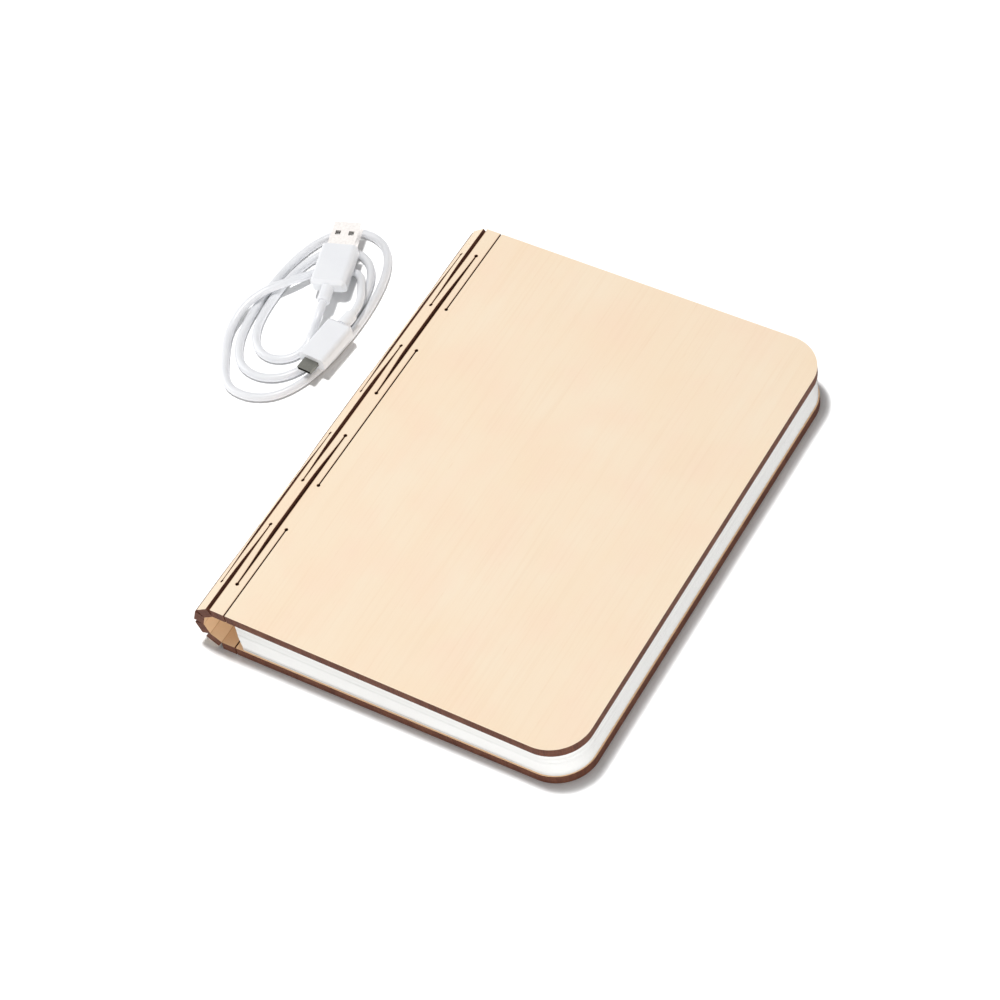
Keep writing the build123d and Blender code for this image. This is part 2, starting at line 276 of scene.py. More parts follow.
# %% [markdown]
# The floor is one large pale square that catches the shadows. Its far edge would show as a line
# against the white world. A curved backdrop would hide that too, but it would show in the views
# from behind. So the floor turns clear with distance, and only to the camera: light still falls
# on it and comes back from it everywhere.

# %% Floor
floor_half = 4.0
floor_white = 0.93
fade_start, fade_end = 0.4, 0.8

floor_material, floor_wire = new_finish(
    "floor_white", Roughness=0.9, Base_Color=colour(floor_white, floor_white, floor_white))
floor_spot = floor_wire.add("TexCoord", {}, {}, "Object")
away = floor_wire.add("VectorMath", {"operation": "LENGTH"}, {0: floor_spot}, "Value")
camera_ray = floor_wire.add("LightPath", {}, {}, "Is Camera Ray")
faded = camera_ray * ramp(away, (fade_start, 0), (fade_end, 1))
floor_clear = floor_wire.add("BsdfTransparent", {}, {})
floor_mix = floor_wire.add("MixShader", {}, {0: faded, 1: floor_wire, 2: floor_clear})
floor_output = floor_material.node_tree.nodes["Material Output"]
floor_material.node_tree.links.new(floor_mix.socket, floor_output.inputs["Surface"])

floor_mesh = bpy.data.meshes.new("floor")
floor_mesh.from_pydata(
    [(-floor_half, -floor_half, 0), (floor_half, -floor_half, 0),
     (floor_half, floor_half, 0), (-floor_half, floor_half, 0)], [], [(0, 1, 2, 3)])
floor_mesh.materials.append(floor_material)
floor = bpy.data.objects.new("floor", floor_mesh)
scene.collection.objects.link(floor)
floor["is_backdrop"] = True
print(f"floor: clear to the camera beyond {fade_end} m")

# %% [markdown]
# The white ground and the dark shadow on it need more light on the floor than on the lamp. One
# set of lights can't give both, and separate render layers would need a compositor. Light
# linking can: a light has a collection of what it reaches. Each collection here holds the
# floor alone. The floor's own light includes it, so it lights nothing else, and the two low
# lights exclude it, so they light everything else.

# %% Light reach
for light, state in ((floor_light, "INCLUDE"), (near_light, "EXCLUDE"), (left_light, "EXCLUDE")):
    lit = bpy.data.collections.new(light.name + "_reach")
    lit.objects.link(floor)
    lit.collection_objects[0].light_linking.link_state = state
    light.light_linking.receiver_collection = lit
    print(light.name, "and the floor:", state.lower())

# %% [markdown]
# The covers are faced with a pale, almost white basswood veneer. Its grain runs along the spine
# and is so fine that it shows as faint streaks, broader cream and pinkish clouds, and a few short
# dark pores. A picture of wood would have to be laid out anew on every strip. The grain is
# noise instead, placed by an attribute called flat. Every wooden piece carries it, and it says
# where each point lay before the spine was folded, so the grain runs on from strip to strip. The
# inner face, at the top of the flat board, is painted a darker tan. It is partly a warmer veneer
# and partly painted shade for the inside of the spine. A second attribute, burn, is 1 at a
# laser-cut edge and fades inward.

# %% Wood veneer
rear_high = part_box("rear_cover")[1]
board = rear_high.z
inner_skin = 0.0005

veneer, veneer_wire = new_finish("wood_veneer", Roughness=0.62, Specular_IOR_Level=0.3)
flat = veneer_wire.add("Attribute", {"attribute_name": "flat"}, {}, "Vector")
streaks = noise_at(stretched(flat, (900, 16, 900)), 1.0, 5.0, 0.6)
bands = noise_at(stretched(flat, (130, 5, 130)), 1.0, 3.0)
clouds = noise_at(flat, 22.0, 3.0)
blush = noise_at(flat, 41.0, 2.0, 0.5)
pores = ramp(noise_at(stretched(flat, (1500, 90, 1500)), 1.0, 2.0, 0.5), (0.70, 0), (0.78, 1))

pale = colour(0.915, 0.765, 0.585)
warm = colour(0.915, 0.715, 0.510)
pink = colour(0.925, 0.715, 0.545)
dark_grain = colour(0.800, 0.560, 0.360)
toasted = colour(0.50, 0.27, 0.13)
# The inner face's darker tan is partly a warmer veneer and partly painted shade for the inside of
# the spine.
inner_tan_painted_shade = colour(0.800, 0.500, 0.260)

tone = mixed(ramp(clouds, (0.35, 0), (0.68, 1)) * 0.55, pale, warm)
tone = mixed(ramp(blush, (0.45, 0), (0.75, 1)) * 0.7, tone, pink)
tone = mixed(ramp(bands, (0.42, 0), (0.72, 1)) * 0.25, tone, warm)
tone = mixed(ramp(streaks, (0.50, 0), (0.80, 1)) * 0.22, tone, dark_grain)
tone = mixed(pores * 0.35, tone, dark_grain)
height = veneer_wire.add("SeparateXYZ", {}, {"Vector": flat}, "Z")
inside = height.math("GREATER_THAN", height, board - inner_skin)
# Painted shade: the inner face is mixed towards a darker tan that stands in for the shade inside
# the spine.
tone = mixed(inside * 0.75, tone, inner_tan_painted_shade)
burn = veneer_wire.add("Attribute", {"attribute_name": "burn"}, {}, "Fac")
singed = ramp(burn, (0.35, 0), (1.0, 1))
feed(veneer, "Base Color", mixed(singed * 0.85, tone, toasted))
feed(veneer, "Roughness", 0.55 + streaks * 0.16)
feed(veneer, "Normal", bumped(streaks * 0.6 + pores * -0.5, 0.18, 0.00006))
print("material:", veneer.name)

# %% [markdown]
# A laser leaves the cut edges charred reddish brown. Plywood shows its layers there: three
# veneers with thin darker glue lines between them, and fine upright ridges where the beam
# pulsed. The layers follow the height in the flat attribute, and the ridges are noise that
# doesn't change with height. Ridges this fine are a bump, because as geometry they would take
# more faces than all the rest.

# %% Burnt edge
plies = 3
half_ply = board / plies / 2

burnt, burnt_wire = new_finish("burnt_edge", Roughness=0.7, Specular_IOR_Level=0.25)
place = burnt_wire.add("Attribute", {"attribute_name": "flat"}, {}, "Vector")
height = burnt_wire.add("SeparateXYZ", {}, {"Vector": place}, "Z")
in_layer = height.math("PINGPONG", height, half_ply) * (1 / half_ply)
glue = 1 - ramp(in_layer, (0.0, 0), (0.22, 1))
ridges = noise_at(stretched(place, (2600, 2600, 120)), 1.0, 3.0, 0.6)
soot = noise_at(place, 160.0, 3.0)
char = mixed(ramp(ridges, (0.35, 0), (0.7, 1)),
             colour(0.062, 0.019, 0.011), colour(0.140, 0.048, 0.026))
char = mixed(ramp(soot, (0.4, 0), (0.75, 1)) * 0.5, char, colour(0.190, 0.078, 0.044))
feed(burnt, "Base Color", mixed(glue * 0.55, char, colour(0.032, 0.010, 0.006)))
feed(burnt, "Roughness", 0.62 + ridges * 0.2)
feed(burnt, "Normal", bumped(ridges - glue * 0.6, 0.5, 0.0001))
print("material:", burnt.name)

# %% [markdown]
# The strips between the slits twist when the book closes. The frame's ten fold joints lie in the
# middle of ten strips, so the joints alone give the spacing of the slits and the angle of each
# fold. fold_place carries a point of the flat spine to where it lies in the closed book, by
# turning about each fold's axis in order. A bend modifier would be less work, but it wouldn't
# keep the strips on the joints.

# %% Fold geometry
half = rear_high.y
folds = sum(name.startswith("fold_") for name in joints)
fold_axes = [Vector(joints[f"fold_{number}"]["pos_m"]) for number in range(1, folds + 1)]
steps = [b - a for a, b in zip(fold_axes, fold_axes[1:])]
pitch = sum(step.length for step in steps) / len(steps)
bend = steps[0].angle(steps[-1]) / (len(steps) - 1)
fold_line = fold_axes[0].x - pitch / 2
cover_length = rear_high.x - fold_line
last_row = folds - 2


def row_x(row):
    """Where a row of slits lies on the flat spine; row 0 is the rear fold line."""
    return -row * pitch


def hinge_turn(fold, angle):
    """A turn about one fold's axis, in the flat spine's frame."""
    axis = Matrix.Translation(((1.5 - fold) * pitch, 0, board / 2))
    return axis @ Matrix.Rotation(angle, 4, "Y") @ axis.inverted()


def fold_place(count):
    """From the flat spine beyond so many folds to the closed book."""
    place = Matrix.Translation((fold_line, 0, 0))
    for fold in range(1, count + 1):
        place = place @ hinge_turn(fold, bend)
    return place


mirror = Matrix.Scale(-1, 4, (1, 0, 0))
front_place = fold_place(folds) @ Matrix.Translation((row_x(last_row), 0, 0)) @ mirror
print(f"spine: {pitch * 1000:.2f} mm between rows, {degrees(bend):.2f} degrees a fold")

# %% [markdown]
# Two kinds of rows alternate. One kind is cut through at both ends and joined at two webs, the
# other is joined at both ends and in the middle. Each cut ends in a round burnt dot. Booleans
# would leave ragged faces round dozens of small cuts. Instead, cut_half gives half the width of
# the cut at any height along the spine, dots included, so one function draws every slit.

# %% Slit pattern
quarter = 0.0575        # from an end of the spine to the middle of the nearest web
web = 0.024             # length of a web between two cuts
end_web = 0.015         # length of a web at the end of a tied row
kerf = 0.0006           # width of the laser's cut
dot_radius = 0.00075
touching = 1e-6         # heights closer than this are the same

quarter_webs = [(-half + quarter - web / 2, -half + quarter + web / 2),
                (half - quarter - web / 2, half - quarter + web / 2)]
tied_webs = [(-half, -half + end_web), (-web / 2, web / 2), (half - end_web, half)]
marks = sorted(y for low, high in quarter_webs + tied_webs for y in (low, high))
spans = list(zip(marks, marks[1:]))
tied_spans, quarter_spans, twist_spans = spans[0::4], spans[2::4], spans[1::2]


def webs(row):
    return tied_webs if row % 2 else quarter_webs


def dots(row):
    """The inner ends of a row's cuts."""
    return [y for ends in webs(row) for y in ends if abs(y) < half - touching]


def cut_half(row, y):
    """Half the width of a row's cut at y; 0 where the wood is whole."""
    width = 0.0 if any(low < y < high for low, high in webs(row)) else kerf / 2
    for end in dots(row):
        reach = dot_radius ** 2 - (y - end) ** 2
        if reach > 0:
            width = max(width, sqrt(reach))
    return width


print("spine zones:", len(tied_spans), "tied,", len(quarter_spans), "quarter,",
      len(twist_spans), "twisting")

# %% [markdown]
# A strip follows the row that holds it: the tied rows at some heights, the quarter webs at
# others, with a smooth change between. Where the strips on both sides of a row lean apart, the
# cut is a little wider on the inside, which leaves room for the lean. The outermost bending rows
# also get room on the outside, for the lamp opened all the way round. The room could be one
# width everywhere, but then even the closed spine would show wide gaps.

# %% Lean of the strips
lean_room = 0.0003
outer_room = 0.0002


def tied_share(y):
    """1 where the tied rows hold the strips, 0 at the quarter webs, smooth between."""
    for index, (low, high) in enumerate(spans):
        if y <= high or index == len(spans) - 1:
            t = min(max((y - low) / (high - low), 0), 1)
            smooth = t * t * (3 - 2 * t)
            return (1, 1 - smooth, 0, smooth)[index % 4]


def share_at(number, y):
    """The tied share for an even row or strip, and what is left of it for an odd one."""
    return 1 - tied_share(y) if number % 2 else tied_share(y)


def lean(row, y):
    """How far the two strips beside a row lean apart, from 0 to 1."""
    if row in (-2, last_row + 2):
        return 0.0
    return share_at(row, y) / 2 if row in (-1, last_row + 1) else share_at(row, y)


def outer_lean(row, y):
    """Room on the outside at the first and last bending rows."""
    return outer_room * lean(row, y) if row in (-1, last_row + 1) else 0.0


print(f"room for the lean: {lean_room * 1000:.1f} mm inside, {outer_room * 1000:.1f} mm outside")

# %% [markdown]
# A strip is long and straight, with small round dots in its sides. Even steps fine enough for
# the dots would make far too many faces, so the steps are wide and only those round a dot are
# close. The wood beside a cut is scorched, and edge_burn says how much, for the colour.

# %% Steps and scorch
halo = 0.0005
step_length = 0.0025
dot_steps = 6


def stations(rows, low, high):
    """Heights at which to draw strips: even steps, and close ones round the dots."""
    count = max(2, round((high - low) / step_length))
    found = {round(low + (high - low) * n / count, 7) for n in range(count + 1)}
    for row in rows:
        for end in dots(row):
            for n in range(-dot_steps, dot_steps + 1):
                found.add(round(end + dot_radius * sin(n * pi / 2 / dot_steps), 7))
            found.add(round(end - dot_radius - halo, 7))
            found.add(round(end + dot_radius + halo, 7))
    return sorted(y for y in found if low - touching < y < high + touching)


def edge_burn(row, y):
    """How burnt the wood is at a row's line: fully at a cut, fading into a web."""
    if cut_half(row, y) > 0:
        return 1.0
    nearest = min(abs(y - end) for end in dots(row))
    return max(0.0, 1 - (nearest - dot_radius) / halo)


print("stations along a whole strip:", len(stations((0, 1), -half, half)))

# %% [markdown]
# Every wooden piece is drawn flat and then carried to its place, and the flat position is stored
# with each point for the grain. Blender's mesh from_pydata takes only points and faces. A bmesh
# also takes attributes point by point, so this small class collects the points in one.


# %% Wood mesh builder
class Wood:
    """Collects points drawn on the flat board, each with its place and its burn."""

    def __init__(self):
        self.bm = bmesh.new()
        self.flat = self.bm.verts.layers.float_vector.new("flat")
        self.burn = self.bm.verts.layers.float.new("burn")

    def point(self, drawn, place, burn, grain=None):
        made = self.bm.verts.new(place @ Vector(drawn))
        made[self.flat] = Vector(drawn) if grain is None else grain
        made[self.burn] = burn
        return made

    def face(self, corners, material):
        """A face of veneer (0) or of burnt edge (1)."""
        made = self.bm.faces.new(corners)
        made.material_index = material
        return made

    def finish(self, name):
        bmesh.ops.recalc_face_normals(self.bm, faces=self.bm.faces)
        mesh = bpy.data.meshes.new(name)
        self.bm.to_mesh(mesh)
        self.bm.free()
        for material in (veneer, burnt):
            mesh.materials.append(material)
        made = bpy.data.objects.new(name, mesh)
        scene.collection.objects.link(made)
        return made


print("wood builder: faces of", veneer.name, "and", burnt.name)

# %% [markdown]
# A strip is a slat of plywood that twists as the book closes. It is drawn as a row of
# eight-sided rings: its two faces, its two burnt sides, and a line a little inside each edge
# where the scorched halo ends. Each ring is carried to its place by itself, and that makes the
# twist.


# %% Strips
def strip_place(strip, y):
    """Where a strip between rows strip and strip + 1 lies at y, twist included."""
    if strip == -2:
        return fold_place(0)
    if strip == last_row + 1:
        return fold_place(folds)
    return fold_place(strip + 1) @ hinge_turn(strip + 2, share_at(strip, y) * bend)


def strip_ring(wood, strip, y):
    """One ring of a strip: outer face, right side, inner face, left side."""
    place = strip_place(strip, y)
    left = row_x(strip + 1) + cut_half(strip + 1, y) + outer_lean(strip + 1, y)
    right = row_x(strip) - cut_half(strip, y) - outer_lean(strip, y)
    left_in = left + lean_room * lean(strip + 1, y)
    right_in = right - lean_room * lean(strip, y)
    left_burn, right_burn = edge_burn(strip + 1, y), edge_burn(strip, y)
    ring = [(left, 0, left_burn), (left + halo, 0, 0),
            (right - halo, 0, 0), (right, 0, right_burn),
            (right_in, board, right_burn), (right_in - halo, board, 0),
            (left_in + halo, board, 0), (left_in, board, left_burn)]
    return [wood.point((x, y, z), place, scorch) for x, z, scorch in ring]


def add_strip(wood, strip, low, high):
    """A stretch of a strip, closed at both ends; sides 3 and 7 of a ring are its burnt cuts."""
    rings = [strip_ring(wood, strip, y) for y in stations((strip, strip + 1), low, high)]
    for ring, following in zip(rings, rings[1:]):
        for n in range(8):
            corners = (ring[n], following[n], following[(n + 1) % 8], ring[(n + 1) % 8])
            wood.face(corners, 1 if n in (3, 7) else 0)
    wood.face(rings[0], 1 if low <= -half else 0)
    wood.face(rings[-1], 1 if high >= half else 0)


print("bending strips:", last_row + 2)

# %% [markdown]
# Between two rows of webs, a strip is held by one group of slats at one height and by the next
# group at another, and it twists in between. The held stretches ride with their group. The
# twisting stretches are pieces of their own, built in their closed place and tied to neither
# group. One mesh with bones could do it as well, but the groups are bodies of the frame, so each
# stays a piece.


# %% Spine
def body_name(number):
    """The frame's body beyond so many folds."""
    if number == 0:
        return "rear"
    return "front" if number == folds else f"spine_{number}"


for group in range(1, folds):
    wood = Wood()
    held = tied_spans if (group - 1) % 2 else quarter_spans
    for strip in (group - 2, group - 1):
        for low, high in held:
            add_strip(wood, strip, low, high)
    slats = wood.finish(f"spine_wood_{group}")
    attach(slats, f"spine_{group}")
    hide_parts(f"spine_slats_{group}")

for strip in range(-1, last_row + 1):
    for number, (low, high) in enumerate(twist_spans, 1):
        wood = Wood()
        add_strip(wood, strip, low, high)
        twist = wood.finish(f"spine_twist_{strip + 2}_{number}")
        start, end = (low, high) if share_at(strip, low) < 0.5 else (high, low)
        body_name(strip + 1)
        body_name(strip + 2)
        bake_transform(twist)
print("spine:", folds - 1, "groups and", len(twist_spans), "twisting stretches a strip")

# %% [markdown]
# A cover is one board with rounded fore-edge corners. Its spine side is the outermost row of
# slits, so the outline follows cut_half there. The faces are single many-sided faces, because a
# flat board needs no grid, and an inset ring near the outline carries the scorch.

# %% Covers
corner_radius = 0.017
corner_steps = 20


def board_outline():
    """Round the board, from the far end of the slit row, with each point's burn."""
    points = []
    for y in reversed(stations((-2,), -half, half)):
        points.append((row_x(-2) + cut_half(-2, y), y, edge_burn(-2, y)))
    inner = cover_length - corner_radius
    for side, first in ((-1, -pi / 2), (1, 0)):
        for n in range(corner_steps + 1):
            angle = first + n * pi / 2 / corner_steps
            points.append((inner + corner_radius * cos(angle),
                           side * (half - corner_radius) + corner_radius * sin(angle), 1.0))
    return points


def add_board(wood, place, grain):
    """The board's two faces and its rim."""
    outline = board_outline()
    rims = [[wood.point((x, y, z), place, scorch, grain @ Vector((x, y, z)))
             for x, y, scorch in outline] for z in (0, board)]
    faces = [wood.face(rims[0], 0), wood.face(rims[1], 0)]
    for n in range(len(outline)):
        after = (n + 1) % len(outline)
        wood.face((rims[0][n], rims[0][after], rims[1][after], rims[1][n]), 1)
    bmesh.ops.inset_region(wood.bm, faces=faces, thickness=halo, use_even_offset=True)
    for vert in {vert for face in faces for vert in face.verts}:
        vert[wood.burn] = 0.0


def make_cover(name, body, place, grain, strips):
    """A cover with the strips that it holds; strips are drawn on the flat spine."""
    wood = Wood()
    add_board(wood, place, grain)
    for strip, stretches in strips:
        for low, high in stretches:
            add_strip(wood, strip, low, high)
    made = wood.finish(name)
    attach(made, body)
    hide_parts(f"{body}_cover")


whole = [(-half, half)]
make_cover("rear_board", "rear", fold_place(0), Matrix.Identity(4),
           [(-2, whole), (-1, tied_spans)])
front_grain = Matrix.Translation((row_x(last_row), 0, 0)) @ mirror
make_cover("front_board", "front", front_place, front_grain,
           [(last_row + 1, whole), (last_row, tied_spans)])
print(f"covers: {cover_length * 1000:.0f} by {2 * half * 1000:.0f} mm")

# %% [markdown]
# The leaves are heavy matt paper, slightly warm, with a fine fibre and a soft, uneven surface.
# The fibre is noise in the object's own place, because a leaf is flat and needs no layout.

# %% Paper
paper, paper_wire = new_finish("leaf_paper", Roughness=0.85, Specular_IOR_Level=0.2)
spot = paper_wire.add("TexCoord", {}, {}, "Object")
fibre = noise_at(stretched(spot, (700, 1500, 700)), 1.0, 4.0, 0.65)
mottle = noise_at(spot, 35.0, 3.0)
white = colour(0.845, 0.845, 0.830)
cream = colour(0.805, 0.800, 0.780)
feed(paper, "Base Color",
     mixed(ramp(mottle, (0.3, 0), (0.8, 1)) * 0.7 + fibre * 0.2, white, cream))
feed(paper, "Roughness", 0.78 + fibre * 0.14)
feed(paper, "Normal", bumped(fibre, 0.25, 0.00006))
print("material:", paper.name)

# %% [markdown]
# A page has the covers' rounded corners, a little smaller. It isn't cut out of a square sheet:
# each row of the grid is only as long as the rounded outline lets it be, and the rows lie closer
# together in the corners, so the grid's own edge is the curve.

# %% Page outline
leaf_low, leaf_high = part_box("leaf_05")
page_radius, page_reach = 0.016, 0.0014
page_corner_rows = 12
sheet_columns, sheet_rows = 10, 72


def corner_setback(y, extent):
    """How far the page's fore-edge is drawn back at y by its rounded corner."""
    past = abs(y) - (extent - page_radius)
    if past <= 0:
        return 0.0
    return page_radius - sqrt(max(page_radius ** 2 - past ** 2, 0))


def page_rows(extent):
    """Heights along the page, closer together in the rounded corners."""
    straight = extent - page_radius
    rows = [-straight - page_radius * cos(pi / 2 * n / page_corner_rows)
            for n in range(page_corner_rows)]
    middle = [-straight + 2 * straight * n / sheet_rows for n in range(sheet_rows + 1)]
    return rows + middle + [-y for y in reversed(rows)]


print("page:", len(page_rows(leaf_high.y + page_reach)), "rows of", sheet_columns)

# %% [markdown]
# A layer of paper is a thin closed sheet with a slight wave and its own small error at the
# trimmed edges, as a cut stack has. One block with lines painted on its edges would be less
# work. But the layers are seen as fine lines between the covers, and only real sheets with real
# gaps throw the right shadows there.

# %% Layers of paper
trim_error = 0.0003
wave_height = 0.00006
wave_rate = (25, 30)
layer_seed_step = 0.37


def add_sheet(bm, z, thickness, seed, fan):
    """One layer with its top, underside and edges; fan lifts it towards the spine."""
    trim = Vector((noise.noise((seed, 0.5, 0)), noise.noise((seed, 7.5, 0)), 0)) * trim_error
    extent = leaf_high.y + trim.y + page_reach
    layers = []
    for side in (-0.5, 0.5):
        grid = []
        for y in page_rows(extent):
            reach = leaf_high.x + trim.x + page_reach - corner_setback(y, extent)
            line = []
            for n in range(sheet_columns + 1):
                x = leaf_low.x + (reach - leaf_low.x) * n / sheet_columns
                wave = wave_height * noise.noise((x * wave_rate[0], y * wave_rate[1], seed * 3.7))
                lift = fan * (1 - n / sheet_columns)
                line.append(bm.verts.new((x, y, z * (1 + lift) + side * thickness + wave)))
            grid.append(line)
        layers.append(grid)
    under, over = layers
    rows, columns = len(under), sheet_columns + 1
    for grid in layers:
        for r in range(rows - 1):
            for c in range(columns - 1):
                bm.faces.new((grid[r][c], grid[r][c + 1], grid[r + 1][c + 1], grid[r + 1][c]))
    ring = [(0, c) for c in range(columns)] + [(r, columns - 1) for r in range(1, rows)]
    ring += [(rows - 1, c) for c in reversed(range(columns - 1))]
    ring += [(r, 0) for r in reversed(range(1, rows - 1))]
    for (r, c), (s, d) in zip(ring, ring[1:] + ring[:1]):
        bm.faces.new((under[r][c], under[s][d], over[s][d], over[r][c]))


def paper_piece(name, sheets, place, fan=0.0):
    """Layers of paper, each a height and a thickness, in one piece."""
    bm = bmesh.new()
    for number, (z, thickness) in enumerate(sheets):
        add_sheet(bm, z, thickness, len(bpy.data.meshes) + number * layer_seed_step, fan)
    bmesh.ops.recalc_face_normals(bm, faces=bm.faces)
    mesh = bpy.data.meshes.new(name)
    bm.to_mesh(mesh)
    bm.free()
    mesh.transform(place)
    mesh.materials.append(paper)
    for polygon in mesh.polygons:
        polygon.use_smooth = abs(polygon.normal.z) > 0.5
    made = bpy.data.objects.new(name, mesh)
    scene.collection.objects.link(made)
    return made


print(f"trimmed edges: within {trim_error * 1000:.1f} mm")

# %% [markdown]
# Each of the nine leaves is a sheet folded over twice, which makes four layers. Closed, the
# layers fill the gap between the covers as fine lines, and they lie a little further apart
# towards the spine. A leaf could be bent by a simulation, but a closed block is held flat, so it
# is only turned. It turns with the group of slats that has its share of the opening.

# %% Leaves
leaf_thickness = 0.0006
leaf_count = folds - 1
layer_count, layer_gap, layer_thickness = 4, 0.00036, 0.0003
fanning = 0.24
wedge = folds * bend - pi


def leaf_place(number):
    """From a page at height 0 to its place, at its share of the small angle of the covers."""
    low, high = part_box(f"leaf_{number:02d}")
    at = Vector((low.x, 0, high.z - leaf_thickness / 2))
    turn = Matrix.Rotation(number * wedge / folds, 4, "Y")
    return Matrix.Translation(at) @ turn @ Matrix.Translation((-at.x, 0, 0))


layers = [((n - (layer_count - 1) / 2) * layer_gap, layer_thickness) for n in range(layer_count)]
for number in range(1, leaf_count + 1):
    leaf = paper_piece(f"folded_leaf_{number:02d}", layers, leaf_place(number), fanning)
    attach(leaf, f"spine_{number}")
    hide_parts(f"leaf_{number:02d}")
print("leaves:", leaf_count, "of", len(layers), "layers")

# %% [markdown]
# The first and last sheets are glued to the insides of the covers and hide the magnets. Each
# could be a patch of paper colour on the board, but a sheet of its own keeps its thin edge in
# the light. The front one is drawn on the mirrored board, so its faces are turned back.

# %% Glued sheets
glued_thickness = 0.00036
glued_z = board + glued_thickness / 2
rear_sheet = paper_piece("rear_endpaper", [(glued_z, glued_thickness)], Matrix.Identity(4))
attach(rear_sheet, "rear")
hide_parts("rear_glued_sheet")
to_cover = Matrix.Translation((-fold_line, 0, 0))
front_sheet = paper_piece("front_endpaper", [(glued_z, glued_thickness)], front_place @ to_cover)
front_sheet.data.flip_normals()
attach(front_sheet, "front")
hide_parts("front_glued_sheet")
print("endpapers: 2")

# %% [markdown]
# The charging lead is unplugged and lies loosely coiled beside the spine. Its line is one smooth
# spline: from the large plug down to the floor, round two turns and a little more, and back over
# the turns to the small plug. The turns come from a formula, a squarish oval that grows turn by
# turn, because a coil drawn by hand never looks even. Places are in millimetres from the rear
# fold line and the near end of the spine.

# %% Coil
lead_diameter = 0.0036
lead_z = lead_diameter / 2 * 1000
turns = 2.12
turn_points = 16
coil_centre = (-62.5, 163.5)
coil_half = (17.0, 30.0)
coil_growth = (4.6, 11.4)
coil_squareness = 2.35


def oval(angle, half_width, half_length):
    """A point on an oval whose sides are flattened by the squareness."""
    power = 2 / coil_squareness
    c, s = cos(angle), sin(angle)
    return (half_width * abs(c) ** power * (1 if c > 0 else -1),
            half_length * abs(s) ** power * (1 if s > 0 else -1))


def coil_points():
    """Points round the turns, which widen from the inner end to the outer."""
    points = []
    for step in range(1, int(turns * turn_points) + 1):
        share = step / turn_points
        x, y = oval(-pi / 2 - 2 * pi * share, coil_half[0] + coil_growth[0] * share,
                    coil_half[1] + coil_growth[1] * share)
        points.append((coil_centre[0] + x, coil_centre[1] + y, lead_z))
    return points


print("coil:", turns, "turns,", len(coil_points()), "points")

# %% [markdown]
# Both ends leave their plugs straight, as a strain relief makes them, and then sink to the
# floor. The end of the small plug passes over the turns in a long low hump. These ends follow
# no formula, so their points are placed one by one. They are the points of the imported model's
# tubes, so the lead lies where its collision shape lies.

# %% Ends of the lead
plug_axis_z = 8.6
straight_out = 6.2
usb_at, usb_heading, usb_relief_length = (-57.0, 172.0), 107.0, 8.0
micro_at, micro_heading, micro_relief_length = (-39.8, 156.5), 266.0, 7.0


def behind(at, heading, distance):
    """A point on a plug's axis, so far behind its body."""
    angle = radians(heading)
    return (at[0] - distance * cos(angle), at[1] - distance * sin(angle), plug_axis_z)


def beside(point):
    """From millimetres beside the book to metres in the frame."""
    x, y, z = point
    return Vector((fold_line + x / 1000, -half + y / 1000, z / 1000))


usb_tail = [
    behind(usb_at, usb_heading, usb_relief_length),
    behind(usb_at, usb_heading, usb_relief_length + straight_out),
    (-52.3, 149.8, 3.9),
    (-51.7, 144.3, 2.2),
    (-53.7, 138.3, lead_z),
    (-58.5, 134.2, lead_z),
    (-64.2, 133.0, lead_z),
]
micro_tail = [
    (-85.6, 132.5, lead_z),
    (-88.4, 141.5, 2.6),
    (-88.0, 150.5, 4.8),
    (-84.9, 158.6, 6.2),
    (-80.2, 165.8, 6.3),
    (-75.4, 172.4, 5.4),
    (-71.8, 178.8, 3.4),
    (-68.4, 184.6, 2.3),
    (-61.9, 188.5, 2.1),
    (-55.0, 188.7, 2.5),
    (-49.1, 185.6, 4.5),
    (-45.7, 180.5, 6.2),
    behind(micro_at, micro_heading, micro_relief_length + straight_out),
    behind(micro_at, micro_heading, micro_relief_length),
]
lead_points = [beside(point) for point in usb_tail + coil_points() + micro_tail]
print("lead:", len(lead_points), "points")

# %% [markdown]
# The sheath and the plugs are white PVC with a soft gloss. It is nearly plain, so its colour
# drifts only a little, and a very fine texture breaks the reflection. Clean white without them
# would look like a drawing. The gloss is a coat over a rougher base.


# %% White plastics
def white_plastic(name, base, shade, roughness, coat):
    material, wire = new_finish(name, Coat_Weight=coat, Coat_Roughness=0.2)
    spot = wire.add("TexCoord", {}, {}, "Object")
    drift = noise_at(spot, 60.0, 3.0)
    grain = noise_at(spot, 2500.0, 2.0)
    feed(material, "Base Color", mixed(ramp(drift, (0.3, 0), (0.75, 1)), base, shade))
    feed(material, "Roughness", roughness + grain * 0.1)
    feed(material, "Normal", bumped(grain, 0.08, 0.00004))
    return material


sheath = white_plastic("sheath_white", base=colour(0.83, 0.84, 0.86),
                       shade=colour(0.78, 0.79, 0.82), roughness=0.32, coat=0.3)
plug_white = white_plastic("plug_white", base=colour(0.86, 0.87, 0.89),
                           shade=colour(0.81, 0.82, 0.85), roughness=0.28, coat=0.35)
print("materials:", sheath.name, plug_white.name)

# %% [markdown]
# The lead itself is that spline with a round section. A tube could be built ring by ring, but a
# curve with a bevel keeps its section round in every bend. It is a limp, coiled cord with a plug
# at both ends. It rides with the lead's body and takes the place of the plain tubes.

# %% Lead
lead_curve = bpy.data.curves.new("charging_lead", "CURVE")
lead_curve.dimensions = "3D"
spline = lead_curve.splines.new("NURBS")
spline.points.add(len(lead_points) - 1)
for control, point in zip(spline.points, lead_points):
    control.co = (*point, 1)
spline.order_u = 3
spline.use_endpoint_u = True
spline.resolution_u = 8
lead_curve.bevel_depth = lead_diameter / 2
lead_curve.bevel_resolution = 6
lead_curve.materials.append(sheath)
lead = bpy.data.objects.new("charging_lead", lead_curve)
scene.collection.objects.link(lead)
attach(lead, "lead")
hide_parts("lead_coil", "lead_usb_tail", "lead_micro_tail")

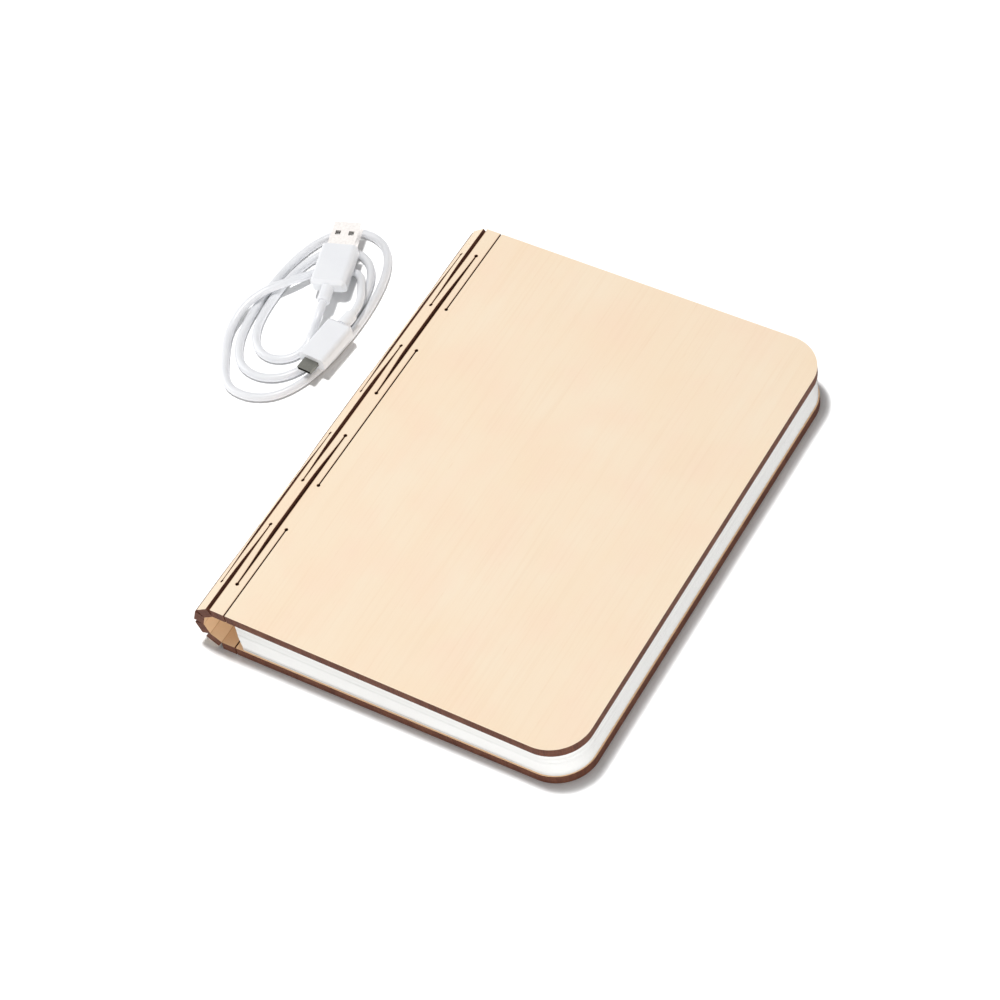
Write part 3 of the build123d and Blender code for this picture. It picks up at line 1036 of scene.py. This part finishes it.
# %% [markdown]
# The plugs' metal shells are folded from sheet, nickel-plated on the large plug and darker on
# the small one and in the socket. The magnets are plated too, and the cell is wrapped in foil.
# A fully metallic shader mirrors the white world, so what sets these metals apart is their
# colour and roughness, and fine noise keeps them from looking like chrome.


# %% Metals
def metal(name, base, roughness, streak_scale, shade=0.8):
    """A metal whose colour drops to a share of itself in its streaks."""
    material, wire = new_finish(name, Metallic=1.0)
    spot = wire.add("TexCoord", {}, {}, "Object")
    streak = noise_at(stretched(spot, streak_scale), 1.0, 3.0)
    shaded = colour(*[shade * value for value in base[:3]])
    feed(material, "Base Color", mixed(ramp(streak, (0.3, 0), (0.8, 1)), base, shaded))
    feed(material, "Roughness", roughness + streak * 0.18)
    feed(material, "Normal", bumped(streak, 0.06, 0.00003))
    return material


nickel = metal("plug_nickel", colour(0.93, 0.89, 0.86), 0.30, (900, 900, 900))
steel = metal("socket_steel", colour(0.20, 0.20, 0.18), 0.25, (900, 900, 900))
magnet_plate = metal("magnet_plate", colour(0.70, 0.69, 0.67), 0.15, (600, 600, 600))
foil = metal("cell_foil", colour(0.62, 0.63, 0.65), 0.38, (300, 1500, 300))
print("metals:", nickel.name, steel.name, magnet_plate.name, foil.name)

# %% [markdown]
# The bar of light inside the spine is moulded and soldered from small plain parts: a white
# housing, a frosted cover that scatters the light, pale boards, yellow chips and a black sensor.
# They are seen only when the lamp is open, so one recipe of a base, a shade and a fine grain
# serves them all, and the frosted cover also lets light sink in.


# %% Small plastics
def plain(name, base, shade, scale, roughness, **constants):
    material, wire = new_finish(name, **constants)
    spot = wire.add("TexCoord", {}, {}, "Object")
    grain = noise_at(spot, scale, 3.0)
    feed(material, "Base Color", mixed(ramp(grain, (0.3, 0), (0.75, 1)), base, shade))
    feed(material, "Roughness", roughness + grain * 0.15)
    feed(material, "Normal", bumped(grain, 0.15, 0.00005))
    return material


housing = plain("housing_white", colour(0.82, 0.82, 0.80), colour(0.76, 0.76, 0.74), 900, 0.5)
frosted = plain("diffuser_frosted", colour(0.90, 0.89, 0.86), colour(0.86, 0.85, 0.80), 700, 0.6,
                Subsurface_Weight=0.3, Subsurface_Scale=0.002)
laminate = plain("board_laminate", colour(0.84, 0.85, 0.84), colour(0.76, 0.78, 0.77), 500, 0.45)
chip = plain("light_chip", colour(0.92, 0.78, 0.30), colour(0.86, 0.68, 0.22), 1500, 0.3)
black = plain("sensor_black", colour(0.02, 0.02, 0.02), colour(0.04, 0.04, 0.04), 900, 0.4)
tongue = plain("tongue_white", colour(0.80, 0.80, 0.79), colour(0.72, 0.72, 0.71), 900, 0.45)
print("plastics:", housing.name, frosted.name, laminate.name, chip.name, black.name, tongue.name)

# %% [markdown]
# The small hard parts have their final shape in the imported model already, down to the rounded
# edges of the plugs. Drawing them again would only risk a misfit, so each keeps its mesh and
# gets one of the finishes.

# %% Finished nodes
finishes = {
    "usb_plug_body": plug_white, "usb_plug_relief": plug_white, "usb_plug_shell": nickel,
    "usb_plug_tongue": tongue, "micro_plug_body": plug_white, "micro_plug_relief": plug_white,
    "micro_plug_shell": steel, "rear_magnets": magnet_plate, "front_magnets": magnet_plate,
    "trigger_magnet": magnet_plate, "bar_housing": housing, "bar_diffuser": frosted,
    "bar_near_cap": housing, "bar_far_cap": housing, "bar_saddles": housing,
    "charging_socket": steel, "light_board": laminate, "charging_board": laminate,
    "lights": chip, "opening_sensor": black, "battery_cell": foil,
}
for node, material in finishes.items():
    mesh = nodes[node].data
    mesh.materials.clear()
    mesh.materials.append(material)
print("finished nodes:", len(finishes))

# %% Sizes, and the end
low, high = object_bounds()
print("visual box:", [round(value, 4) for value in (*low, *high)])
